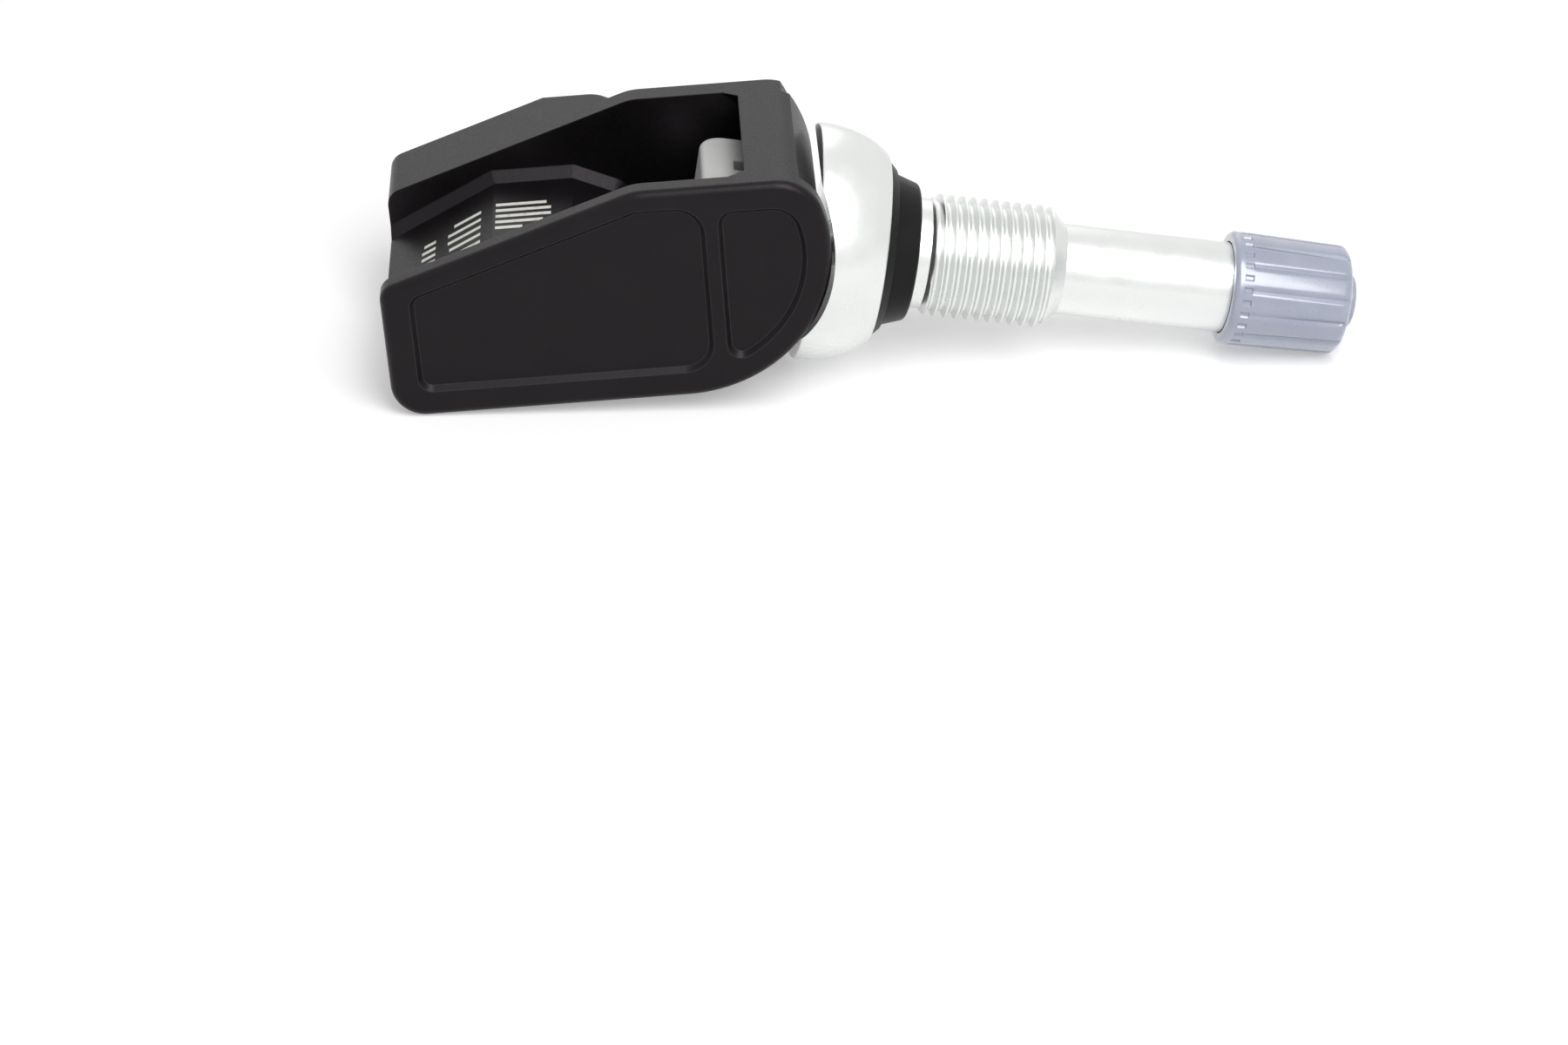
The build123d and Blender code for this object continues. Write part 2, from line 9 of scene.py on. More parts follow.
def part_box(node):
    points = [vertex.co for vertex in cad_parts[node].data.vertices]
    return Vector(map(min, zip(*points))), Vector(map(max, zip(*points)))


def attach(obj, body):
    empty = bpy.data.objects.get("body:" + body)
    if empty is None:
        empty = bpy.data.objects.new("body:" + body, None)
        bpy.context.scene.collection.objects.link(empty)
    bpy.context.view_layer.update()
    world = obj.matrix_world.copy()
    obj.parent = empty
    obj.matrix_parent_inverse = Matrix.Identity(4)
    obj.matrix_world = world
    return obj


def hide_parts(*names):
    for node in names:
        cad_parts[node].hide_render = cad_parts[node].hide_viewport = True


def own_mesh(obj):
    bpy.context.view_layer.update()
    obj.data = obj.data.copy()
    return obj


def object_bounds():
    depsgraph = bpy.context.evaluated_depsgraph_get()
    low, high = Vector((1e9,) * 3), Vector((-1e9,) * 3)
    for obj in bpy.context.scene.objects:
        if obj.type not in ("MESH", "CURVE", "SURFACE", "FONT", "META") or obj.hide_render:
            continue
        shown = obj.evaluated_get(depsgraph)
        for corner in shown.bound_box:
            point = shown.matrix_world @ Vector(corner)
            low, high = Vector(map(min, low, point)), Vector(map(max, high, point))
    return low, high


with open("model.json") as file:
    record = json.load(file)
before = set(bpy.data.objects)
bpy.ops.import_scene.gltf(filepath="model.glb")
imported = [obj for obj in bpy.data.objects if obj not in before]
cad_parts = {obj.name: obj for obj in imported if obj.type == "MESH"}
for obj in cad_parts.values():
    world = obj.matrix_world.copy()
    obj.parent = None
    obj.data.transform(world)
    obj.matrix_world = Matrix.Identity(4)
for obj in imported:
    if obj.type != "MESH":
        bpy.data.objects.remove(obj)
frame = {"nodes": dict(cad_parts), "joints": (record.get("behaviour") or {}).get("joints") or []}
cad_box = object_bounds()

# The circuit board: glass fibre under green solder mask, with copper tracks that show through.
# It stands on the four posts of the bottom cover and carries all the electronics.
mm = 0.001
rest_tilt = radians(12)          # the valve below the housing's base line
joints = {joint["name"]: joint for joint in frame["joints"]}
tilt_axis = Vector(joints["housing_tilt"]["pos_m"])
valve_axis = Vector(joints["core_press"]["axis"])
valve_pitch = atan2(-valve_axis.z, valve_axis.x)
housing_pitch = valve_pitch - rest_tilt
mask_green = (0.016, 0.105, 0.045)
track_green = (0.040, 0.190, 0.075)
track_width = 0.35 * mm
track_pitch = 1.3 * mm


def set_shader(finish, **values):
    """Sets constants on the finish's shader."""
    shader = finish.node_tree.nodes["Principled BSDF"]
    for name, value in values.items():
        shader.inputs[name.replace("_", " ")].default_value = value


def new_finish(name, colour, metallic, roughness):
    """A material with one shader; the caller adds what varies over the surface."""
    finish = bpy.data.materials.new(name)
    finish.use_nodes = True
    set_shader(finish, Base_Color=(*colour, 1), Metallic=metallic, Roughness=roughness)
    return finish


def add_node(finish, kind, **inputs):
    """A shader node whose sockets are set to values or linked to other nodes' sockets."""
    node = finish.node_tree.nodes.new("ShaderNode" + kind)
    for name, value in inputs.items():
        socket = node.inputs[name.replace("_", " ")]
        if isinstance(value, bpy.types.NodeSocket):
            finish.node_tree.links.new(value, socket)
        else:
            socket.default_value = value
    return node


def feed(finish, name, socket):
    """Links a socket into the finish's shader."""
    shader = finish.node_tree.nodes["Principled BSDF"]
    finish.node_tree.links.new(socket, shader.inputs[name])


def own_place(finish, origin, pitch):
    """Object coordinates measured from a point, with x along the piece's own pitched axis."""
    coordinates = add_node(finish, "TexCoord").outputs["Object"]
    mapping = add_node(finish, "Mapping", Vector=coordinates, Location=origin, Rotation=(0, pitch, 0))
    mapping.vector_type = "TEXTURE"
    return mapping.outputs["Vector"]


def noise(finish, place, size, detail):
    """Cloudy variation with patches of about the given size."""
    return add_node(finish, "TexNoise", Vector=place, Scale=1 / size, Detail=detail).outputs["Fac"]


def number_between(finish, factor, low, high):
    """A number that runs from low to high where the noise runs through its middle range."""
    spread = add_node(finish, "MapRange", Value=factor, From_Min=0.3, From_Max=0.7,
                      To_Min=low, To_Max=high)
    return spread.outputs["Result"]


def colour_between(finish, factor, low, high, start, end):
    """A colour that runs from low to high as the factor goes from start to end."""
    ramp = add_node(finish, "ValToRGB", Fac=factor)
    for stop, position, colour in zip(ramp.color_ramp.elements, (start, end), (low, high)):
        stop.position = position
        stop.color = (*colour, 1)
    return ramp.outputs["Color"]


def relief(finish, height, depth, normal=None):
    """Bump of a real depth, on top of a normal where one is given."""
    bump = add_node(finish, "Bump", Height=height, Distance=depth)
    if normal:
        finish.node_tree.links.new(normal, bump.inputs["Normal"])
    feed(finish, "Normal", bump.outputs["Normal"])


def dress(finish, *nodes):
    """Gives a finish to pieces that keep their own solid."""
    for node in nodes:
        for slot in frame["nodes"][node].material_slots:
            slot.material = finish


board_finish = new_finish("board_mask", mask_green, 0, 0.35)
board_place = own_place(board_finish, tilt_axis, housing_pitch)
tracks = add_node(board_finish, "TexBrick", Vector=board_place, Scale=1, Mortar_Size=track_width / 2,
                  Brick_Width=4 * track_pitch, Row_Height=track_pitch)
feed(board_finish, "Base Color",
     colour_between(board_finish, tracks.outputs["Fac"], mask_green, track_green, 0.2, 0.8))
relief(board_finish, tracks.outputs["Fac"], 0.03 * mm)
dress(board_finish, "circuit_board")

# The small parts soldered to the board: a moulded sensor chip, a nickel-plated crystal can
# and a row of ceramic chip capacitors with tinned ends.
chip_black = (0.022, 0.022, 0.023)
steel_grey = (0.62, 0.62, 0.63)
ceramic_tan = (0.40, 0.27, 0.17)
tinned_end = (0.70, 0.70, 0.68)
ceramic_half_length = 0.5 * mm

chip_finish = new_finish("chip_package", chip_black, 0, 0.55)
chip_grain = noise(chip_finish, own_place(chip_finish, tilt_axis, housing_pitch), 0.06 * mm, 2)
feed(chip_finish, "Roughness", number_between(chip_finish, chip_grain, 0.5, 0.65))
relief(chip_finish, chip_grain, 0.008 * mm)
dress(chip_finish, "sensor_chip")


def plated_finish(name, colour, smooth, rough):
    """Plated sheet or rolled metal, with a slightly uneven gloss."""
    finish = new_finish(name, colour, 1, smooth)
    place = own_place(finish, tilt_axis, housing_pitch)
    gloss = noise(finish, place, 0.8 * mm, 3)
    feed(finish, "Roughness", number_between(finish, gloss, smooth, rough))
    relief(finish, noise(finish, place, 0.05 * mm, 2), 0.002 * mm)
    return finish


steel_finish = plated_finish("plated_steel", steel_grey, 0.2, 0.32)
dress(steel_finish, "crystal_can")

capacitor_low, capacitor_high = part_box("chip_capacitors")
capacitor_finish = new_finish("chip_capacitor", ceramic_tan, 0, 0.4)
capacitor_place = own_place(capacitor_finish, (capacitor_low + capacitor_high) / 2, housing_pitch)
along_chip = add_node(capacitor_finish, "SeparateXYZ", Vector=capacitor_place).outputs["X"]
from_middle = add_node(capacitor_finish, "Math", Value=along_chip)
from_middle.operation = "ABSOLUTE"
at_end = add_node(capacitor_finish, "Math", Value=from_middle.outputs["Value"])
at_end.operation = "GREATER_THAN"
at_end.inputs[1].default_value = ceramic_half_length
feed(capacitor_finish, "Metallic", at_end.outputs["Value"])
feed(capacitor_finish, "Base Color",
     colour_between(capacitor_finish, at_end.outputs["Value"], ceramic_tan, tinned_end, 0.4, 0.6))
dress(capacitor_finish, "chip_capacitors")

# The wake-up coil: a sintered ferrite bobbin wound with enamelled copper wire,
# soldered to the board beside the cell.
ferrite_grey = (0.055, 0.055, 0.060)
wire_copper = (0.62, 0.27, 0.11)
painted_turn_shade = (0.30, 0.11, 0.04)  # painted shade in the grooves between the turns
wire_pitch = 0.16 * mm
wave_period = tau / 20           # length of one band of a wave texture at scale 1

ferrite_finish = new_finish("sintered_ferrite", ferrite_grey, 0, 0.6)
ferrite_grain = noise(ferrite_finish, own_place(ferrite_finish, tilt_axis, housing_pitch), 0.04 * mm, 3)
feed(ferrite_finish, "Roughness", number_between(ferrite_finish, ferrite_grain, 0.5, 0.75))
relief(ferrite_finish, ferrite_grain, 0.01 * mm)
dress(ferrite_finish, "coil_core")

copper_finish = new_finish("copper_wire", wire_copper, 1, 0.3)
copper_place = own_place(copper_finish, tilt_axis, housing_pitch)
turns = add_node(copper_finish, "TexWave", Vector=copper_place, Scale=wave_period / wire_pitch)
relief(copper_finish, turns.outputs["Fac"], 0.06 * mm)
# painted shade: the colour darkens in the grooves between the turns, following the same waves as the bump
feed(copper_finish, "Base Color",
     colour_between(copper_finish, turns.outputs["Fac"], painted_turn_shade, wire_copper, 0.1, 0.6))
dress(copper_finish, "coil_winding")

# The antenna strip, bent from tinned bronze, and the lithium cell with its welded nickel tabs.
# They stand on the board and under it.
brass_gold = (0.72, 0.53, 0.25)
can_grey = (0.66, 0.66, 0.66)
brass_finish = plated_finish("turned_brass", brass_gold, 0.22, 0.34)
cell_finish = plated_finish("cell_can", can_grey, 0.16, 0.26)
dress(brass_finish, "antenna_strip")
dress(cell_finish, "battery_cell")
dress(steel_finish, "battery_tab_lower", "battery_tab_upper")

# The housing and its bottom cover: black glass-filled nylon, moulded with a fine spark-eroded
# texture and soft edges, with a painted highlight on the near cheek's rounded edges. The cover is welded
# into the base.
nylon_black = (0.0028, 0.0024, 0.0028)
nylon_worn = (0.0050, 0.0043, 0.0049)
nylon_gloss = (1.0, 0.90, 0.98)
nylon_shine = 0.22
# colour of the painted highlight on the near cheek's rounded edges
nylon_edge_highlight = (0.040, 0.037, 0.040)
moulded_edge = 0.15 * mm
near_side = -9.3 * mm            # the near cheek's outer side, across from the tilt axis
highlight_start = radians(5.7)         # turn of a rounded edge at which the painted highlight begins to show
highlight_full = radians(21.6)
texture_size = 0.16 * mm
texture_depth = 0.014 * mm


def moulded_finish(name, colour, faded, smooth, rough, edge, grain_size, grain_depth):
    """Moulded plastic or rubber: clouded colour and gloss, fine grain and edges rounded by the tool."""
    finish = new_finish(name, colour, 0, smooth)
    place = own_place(finish, tilt_axis, housing_pitch)
    cloud = noise(finish, place, 5 * mm, 4)
    grain = noise(finish, place, grain_size, 3)
    feed(finish, "Base Color", colour_between(finish, cloud, colour, faded, 0.35, 0.7))
    feed(finish, "Roughness", number_between(finish, grain, smooth, rough))
    rounded = add_node(finish, "Bevel", Radius=edge)
    rounded.samples = 6
    relief(finish, grain, grain_depth, rounded.outputs["Normal"])
    return finish


def paint_near_edge_highlights(finish, colour):
    """Paints a highlight on the rounded edges of the near cheek's outer side."""
    tree = finish.node_tree
    turn = add_node(finish, "VectorMath")
    turn.operation = "DOT_PRODUCT"
    tree.links.new(tree.nodes["Bevel"].outputs["Normal"], turn.inputs[0])
    tree.links.new(add_node(finish, "NewGeometry").outputs["Normal"], turn.inputs[1])
    across = add_node(finish, "SeparateXYZ", Vector=own_place(finish, tilt_axis, housing_pitch))
    near = add_node(finish, "MapRange", Value=across.outputs["Y"], From_Min=near_side,
                    From_Max=near_side - moulded_edge)
    at_edge = add_node(finish, "MapRange", Value=turn.outputs["Value"], From_Min=cos(highlight_start),
                       From_Max=cos(highlight_full), To_Max=near.outputs["Result"])
    plain = tree.nodes["Principled BSDF"].inputs["Base Color"].links[0].from_socket
    # mixes the painted highlight into the base colour on the near cheek's rounded edges
    highlighted = add_node(finish, "MixRGB", Fac=at_edge.outputs["Result"], Color1=plain, Color2=(*colour, 1))
    feed(finish, "Base Color", highlighted.outputs["Color"])


nylon_finish = moulded_finish("moulded_nylon", nylon_black, nylon_worn, 0.30, 0.44, moulded_edge,
                              texture_size, texture_depth)
set_shader(nylon_finish, Specular_IOR_Level=nylon_shine, Specular_Tint=(*nylon_gloss, 1))
paint_near_edge_highlights(nylon_finish, nylon_edge_highlight)
dress(nylon_finish, "housing_shell", "bottom_cover")

# The plain white bars printed on the hump: pad-printed ink, a few hundredths of a millimetre
# thick, in rows on both sides of the bend.
ink_white = (0.80, 0.80, 0.74)
ink_worn = (0.55, 0.55, 0.50)
ink_height = 0.03 * mm
bar_width = 0.50 * mm
hump_flat_start = -16.1 * mm     # where the hump's flat, level with the tilt axis, meets its slope
hump_slope = atan2(3.6 * mm, 7.3 * mm)
# Each bar has a start, counted from the bend, a length and a place across, in millimetres.
flat_bars = [(0.2, 2.4, -1.2), (0.2, 4.2, -0.1), (0.2, 4.9, 1.0), (0.2, 4.9, 2.1), (0.2, 4.5, 3.2)]
slope_bars = [(1.3, 2.2, -2.4), (1.3, 3.2, -1.0), (1.3, 3.4, 0.4), (1.3, 3.4, 1.8), (1.3, 2.8, 3.2),
              (6.0, 1.1, -1.4), (6.0, 1.4, -0.2), (6.0, 1.4, 1.0), (6.0, 1.2, 2.2)]


def finished_piece(name, bm, place, body, finish, sharp):
    """Turns a bmesh into a piece in the row frame, smooth apart from its sharp edges."""
    bmesh.ops.recalc_face_normals(bm, faces=bm.faces)
    bmesh.ops.transform(bm, matrix=place, verts=bm.verts)
    for face in bm.faces:
        face.smooth = True
    for edge in bm.edges:
        edge.smooth = edge.calc_face_angle(0) < sharp
    mesh = bpy.data.meshes.new(name)
    bm.to_mesh(mesh)
    bm.free()
    mesh.materials.append(finish)
    piece = bpy.data.objects.new(name, mesh)
    bpy.context.scene.collection.objects.link(piece)
    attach(piece, body)
    return piece


housing_place = Matrix.Translation(tilt_axis) @ Matrix.Rotation(housing_pitch, 4, "Y")
hump_bend = Matrix.Translation((hump_flat_start, 0, 0))
slope_place = hump_bend @ Matrix.Rotation(-hump_slope, 4, "Y")
ink_bm = bmesh.new()
for bars, direction, plane in ((flat_bars, 1, hump_bend), (slope_bars, -1, slope_place)):
    for start, length, across in bars:
        bar_along = direction * (start + length / 2) * mm
        bar_middle = Matrix.Translation((bar_along, across * mm, ink_height / 4))
        bar_size = Matrix.Diagonal((length * mm, bar_width, ink_height, 1))
        bmesh.ops.create_cube(ink_bm, size=1, matrix=plane @ bar_middle @ bar_size)
ink_finish = new_finish("white_ink", ink_white, 0, 0.6)
ink_wear = noise(ink_finish, own_place(ink_finish, tilt_axis, housing_pitch), 0.5 * mm, 4)
feed(ink_finish, "Base Color", colour_between(ink_finish, ink_wear, ink_worn, ink_white, 0.3, 0.45))
finished_piece("printed_bars", ink_bm, housing_place, "housing", ink_finish, radians(30))

# The valve: turned from one aluminium bar, with a domed flange, a neck for the grommet, the clamp
# thread, a slim stem and the fine thread under the cap. The clamp screw holds it to the housing.
valve_root = Vector(joints["cap_spin"]["pos_m"])
valve_drop = (tilt_axis - valve_root).length
flange_back = 11.7 * mm          # stations are measured along the valve from its root below the tilt axis
flange_radius = 10.5 * mm
dome_end = 16.9 * mm
dome_radius = 9.4 * mm
dome_bulge = 0.35 * mm
dome_points = 10
flange_front = 18.25 * mm
flange_front_radius = 8.45 * mm
scoop_radius = 13.55 * mm        # hollow at the flange's back that rides round the housing
neck_radius = 4.9 * mm
clamp_thread_start = 22.45 * mm
clamp_thread_end = 33.2 * mm
clamp_thread_radius = 5.45 * mm
clamp_thread_pitch = 1.0 * mm
stem_start = 34.7 * mm
stem_end = 50.6 * mm
stem_radius = 4.05 * mm
tip_end = 57.77 * mm
tip_radius = 3.8 * mm
tip_root_radius = 3.4 * mm
tip_thread_pitch = 0.794 * mm
tip_relief = 0.5 * mm            # plain neck before the cap's thread
screw_hole_end = 20.8 * mm
screw_hole_radius = 2.0 * mm
air_radius = 1.4 * mm
core_seat_start = 46.17 * mm
core_seat_radius = 2.1 * mm
core_thread_start = 53.77 * mm
core_thread_radius = 2.6 * mm
turned_edge = 0.25 * mm
turned_steps = 128
seam = 0.04 * mm                 # ring that joins a thread to the turned surface beside it
aluminium = (0.77, 0.785, 0.77)


def lathe(bm, outline, rounds=(), steps=turned_steps):
    """Turns an outline of (station, radius) round the valve axis; rounds holds (point, radius)."""
    corners = [bm.verts.new((station, 0, radius)) for station, radius in outline]
    edges = [bm.edges.new(pair) for pair in zip(corners, corners[1:])]
    wire = set(corners)
    for point, radius in rounds:
        made = bmesh.ops.bevel(bm, geom=[corners[outline.index(point)]], offset=radius, segments=5,
                               profile=0.5, affect="VERTICES", material=-1)
        wire.update(made["verts"])
    wire = [vert for vert in wire if vert.is_valid]
    edges = {edge for vert in wire for edge in vert.link_edges}
    bmesh.ops.spin(bm, geom=wire + list(edges), cent=(0, 0, 0), axis=(1, 0, 0), angle=tau, steps=steps,
                   use_merge=True, use_duplicate=False)


def axis_distance(vert):
    return hypot(vert.co.y, vert.co.z)


def set_radius(vert, radius):
    """Moves a vertex towards or away from the valve axis."""
    share = radius / axis_distance(vert)
    vert.co.y *= share
    vert.co.z *= share


def thread(start, end, crest, root, pitch, limit):
    """A right-hand thread between two stations, open at both ends and kept below limit(station)."""
    bm = bmesh.new()
    ridge = [(0, root), (0.1, root), (0.43, crest), (0.57, crest), (0.9, root), (1, root)]
    outline = [bm.verts.new((start + (share - 1.5) * pitch, 0, radius)) for share, radius in ridge]
    edges = [bm.edges.new(pair) for pair in zip(outline, outline[1:])]
    turns = ceil((end - start) / pitch) + 2
    bmesh.ops.spin(bm, geom=outline + edges, cent=(0, 0, 0), axis=(1, 0, 0), angle=turns * tau,
                   dvec=(pitch / turned_steps, 0, 0), steps=turns * turned_steps, use_duplicate=False)
    bmesh.ops.remove_doubles(bm, verts=bm.verts, dist=pitch / 1000)
    flanks = [edge for edge in bm.edges if abs(axis_distance(edge.verts[0]) - axis_distance(edge.verts[1]))
              > (crest - root) / 2]
    bmesh.ops.subdivide_edges(bm, edges=flanks, cuts=2)
    for station, beyond in ((start, False), (end, True)):
        bmesh.ops.bisect_plane(bm, geom=bm.verts[:] + bm.edges[:] + bm.faces[:], dist=pitch / 10000,
                               plane_co=(station, 0, 0), plane_no=(1, 0, 0),
                               clear_outer=beyond, clear_inner=not beyond)
    for vert in bm.verts:
        set_radius(vert, min(axis_distance(vert), limit(vert.co.x)))
    return bm


def join_rings(bm, station):
    """Closes the gap between the two open rings beside a station."""
    rings = [edge for edge in bm.edges if edge.is_boundary
             and all(abs(vert.co.x - station) < 2 * seam for vert in edge.verts)]
    bmesh.ops.bridge_loops(bm, edges=rings)


def clamp_limit(station):
    """The clamp thread runs in at 45 degrees and runs out on the cone that leads to the stem."""
    cone = (clamp_thread_radius - stem_radius) / (stem_start - clamp_thread_end)
    return min(neck_radius + max(0, station - clamp_thread_start), clamp_thread_radius,
               clamp_thread_radius - (station - clamp_thread_end) * cone)


def tip_limit(station):
    """The cap's thread starts after a plain neck and ends in a chamfer."""
    return min(tip_root_radius + max(0, station - stem_end - tip_relief), tip_radius,
               tip_root_radius + tip_end - station)


run_out = clamp_thread_end + (stem_start - clamp_thread_end) * (
    (clamp_thread_radius - neck_radius) / (clamp_thread_radius - stem_radius))
dome = []
for step in range(dome_points + 1):
    share = 1 - step / dome_points
    dome.append((flange_back + (dome_end - flange_back) * share,
                 flange_radius + (dome_radius - flange_radius) * share
                 + 4 * dome_bulge * share * (1 - share)))
flange_rim = (flange_front, flange_front_radius)
body_outline = [(clamp_thread_start - seam, neck_radius), (flange_front, neck_radius), flange_rim, *dome,
                (flange_back, screw_hole_radius), (screw_hole_end, screw_hole_radius),
                (screw_hole_end, air_radius), (core_seat_start, air_radius),
                (core_seat_start, core_seat_radius), (core_thread_start, core_seat_radius),
                (core_thread_start, core_thread_radius), (tip_end, core_thread_radius),
                (tip_end, tip_root_radius)]
stem_outline = [(run_out + seam, neck_radius - seam), (stem_start, stem_radius), (stem_end, stem_radius),
                (stem_end, tip_root_radius), (stem_end + tip_relief / 2, tip_root_radius)]

stem_bm = bmesh.new()
lathe(stem_bm, body_outline, [(flange_rim, turned_edge), (dome[0], turned_edge), (dome[-1], turned_edge)])
lathe(stem_bm, stem_outline, [((stem_end, stem_radius), turned_edge / 2)])
tip_thread_start = stem_end + tip_relief / 2 + seam
for strip in (thread(clamp_thread_start, run_out, clamp_thread_radius, neck_radius, clamp_thread_pitch,
                     clamp_limit),
              thread(tip_thread_start, tip_end - seam, tip_radius, tip_root_radius, tip_thread_pitch,
                     tip_limit)):
    strip_mesh = bpy.data.meshes.new("thread_strip")
    strip.to_mesh(strip_mesh)
    strip.free()
    stem_bm.from_mesh(strip_mesh)
    bpy.data.meshes.remove(strip_mesh)
for ring_station in (clamp_thread_start, run_out, tip_thread_start, tip_end):
    join_rings(stem_bm, ring_station)
bmesh.ops.recalc_face_normals(stem_bm, faces=stem_bm.faces)


def cut_away(bm, cutter):
    """The bmesh with another one's form taken out of it."""
    objects = []
    for name, form in (("blank", bm), ("cutter", cutter)):
        mesh = bpy.data.meshes.new(name)
        form.to_mesh(mesh)
        form.free()
        objects.append(bpy.data.objects.new(name, mesh))
        bpy.context.scene.collection.objects.link(objects[-1])
    blank, tool = objects
    cut = blank.modifiers.new("cut", "BOOLEAN")
    cut.operation = "DIFFERENCE"
    cut.solver = "EXACT"
    cut.object = tool
    result = bpy.data.meshes.new_from_object(blank.evaluated_get(bpy.context.evaluated_depsgraph_get()))
    made = bmesh.new()
    made.from_mesh(result)
    bpy.data.meshes.remove(result)
    for scratch in (blank, tool):
        bpy.data.meshes.remove(scratch.data)
    return made


scoop = bmesh.new()
bmesh.ops.create_cone(scoop, cap_ends=True, segments=2 * turned_steps, radius1=scoop_radius,
                      radius2=scoop_radius, depth=4 * flange_radius,
                      matrix=Matrix.Translation((0, 0, valve_drop)) @ Matrix.Rotation(pi / 2, 4, "X"))
stem_bm = cut_away(stem_bm, scoop)


def turned_finish(name, colour, smooth, rough, line_size, line_depth):
    """Metal from the lathe: fine rings round the valve axis and an uneven satin gloss."""
    finish = new_finish(name, colour, 1, smooth)
    place = own_place(finish, valve_root, valve_pitch)
    split = add_node(finish, "SeparateXYZ", Vector=place)
    across = add_node(finish, "CombineXYZ", Y=split.outputs["Y"], Z=split.outputs["Z"])
    radius = add_node(finish, "VectorMath", Vector=across.outputs["Vector"])
    radius.operation = "LENGTH"
    path = add_node(finish, "Math")
    finish.node_tree.links.new(split.outputs["X"], path.inputs[0])
    finish.node_tree.links.new(radius.outputs["Value"], path.inputs[1])
    rings = add_node(finish, "TexNoise")
    rings.noise_dimensions = "1D"
    finish.node_tree.links.new(path.outputs["Value"], rings.inputs["W"])
    rings.inputs["Scale"].default_value = 1 / line_size
    rings.inputs["Detail"].default_value = 2
    gloss = noise(finish, place, 2.5 * mm, 4)
    feed(finish, "Roughness", number_between(finish, gloss, smooth, rough))
    relief(finish, rings.outputs["Fac"], line_depth)
    return finish


valve_place = Matrix.Translation(valve_root) @ Matrix.Rotation(valve_pitch, 4, "Y")
aluminium_finish = turned_finish("turned_aluminium", aluminium, 0.24, 0.34, 0.09 * mm, 0.002 * mm)
turned_valve = finished_piece("turned_valve", stem_bm, valve_place, "valve", aluminium_finish,
                              radians(24))
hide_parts("valve_stem")

# The grommet that seals the rim hole, and the pressure port's ring in the housing:
# black rubber, moulded and pushed on.
rubber_black = (0.0050, 0.0050, 0.0052)
rubber_bloom = (0.0100, 0.0100, 0.0105)
rubber_shine = 0.14
rubber_finish = moulded_finish("moulded_rubber", rubber_black, rubber_bloom, 0.32, 0.46, 0.14 * mm,
                               0.12 * mm, 0.006 * mm)
set_shader(rubber_finish, Specular_IOR_Level=rubber_shine)
dress(rubber_finish, "stem_seal", "port_seal")

# The clamp: a pale die-cast saddle behind the housing's curved wall, and the hollow
# lobed screw that pulls it and the wall against the valve.
saddle_grey = (0.52, 0.52, 0.51)
saddle_pale = (0.60, 0.60, 0.59)
saddle_finish = moulded_finish("blasted_casting", saddle_grey, saddle_pale, 0.45, 0.6, 0.2 * mm,
                               0.1 * mm, 0.01 * mm)
dress(saddle_finish, "clamp_saddle")
screw_finish = turned_finish("plated_screw", steel_grey, 0.22, 0.34, 0.08 * mm, 0.003 * mm)
dress(screw_finish, "clamp_screw")

# The valve core, screwed into the stem's tip: turned brass with a white sealing ring,
# a rubber washer, and a steel spring that gives way when the pin is pushed in.
spring_floor = 50.62 * mm
spring_end = 54.97 * mm
spring_radius = 0.93 * mm
spring_wire = 0.3 * mm
spring_turns = 6
wire_sides = 10
coil_steps = 32
ring_white = (0.78, 0.78, 0.75)
ring_bright = (0.84, 0.84, 0.82)

ring_finish = moulded_finish("sealing_ring", ring_white, ring_bright, 0.35, 0.5, 0.05 * mm,
                             0.1 * mm, 0.003 * mm)
dress(brass_finish, "core_barrel", "core_pin")
dress(ring_finish, "core_ring")
dress(rubber_finish, "core_washer")

spring_bm = bmesh.new()
wire_place = Matrix.Translation((spring_floor + spring_wire / 2, 0, spring_radius))
bmesh.ops.create_circle(spring_bm, cap_ends=True, segments=wire_sides, radius=spring_wire / 2,
                        matrix=wire_place @ Matrix.Rotation(pi / 2, 4, "X"))
rise = (spring_end - spring_floor - spring_wire) / (spring_turns * coil_steps)
bmesh.ops.spin(spring_bm, geom=spring_bm.verts[:] + spring_bm.edges[:] + spring_bm.faces[:],
               cent=(0, 0, 0), axis=(1, 0, 0), angle=spring_turns * tau, dvec=(rise, 0, 0),
               steps=spring_turns * coil_steps, use_duplicate=False)
coil_spring = finished_piece("coil_spring", spring_bm, valve_place, "valve", steel_finish,
                             radians(50))
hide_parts("core_spring")
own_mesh(coil_spring)

# The cap: moulded blue-grey plastic with small pockets round its skirt, fourteen grip grooves
# that deepen towards its end and a small round nub, over a rubber gasket. It screws on the tip.
cap_mouth = 49.8 * mm
cap_notch_start = 50.65 * mm     # small pockets round the skirt, twice as many as the grooves
cap_notch_end = 51.35 * mm
cap_notch_depth = 0.16 * mm
cap_end = 60.6 * mm
cap_roof = 58.7 * mm
cap_nub_end = 61.5 * mm
cap_step = 50.7 * mm
cap_radius = 5.1 * mm
cap_end_radius = 4.88 * mm
cap_nub_radius = 2.45 * mm
cap_mouth_bore = 4.15 * mm
cap_bore = 3.9 * mm
cap_edge = 0.9 * mm
cap_mouth_edge = 0.45 * mm
cap_nub_edge = 0.4 * mm
groove_count = 14
groove_columns = 16              # columns of the mesh from one groove to the next
groove_reach = 3                 # columns from a groove's middle to its edge
groove_start_depth = 0.05 * mm
groove_end_depth = 0.35 * mm
notch_wall = 0.05 * mm
cap_blue_grey = (0.31, 0.34, 0.45)
cap_pale = (0.38, 0.41, 0.52)
cap_shine = 0.9
cap_coat_roughness = 0.15
cap_coat_index = 1.6

dress(rubber_finish, "cap_gasket")

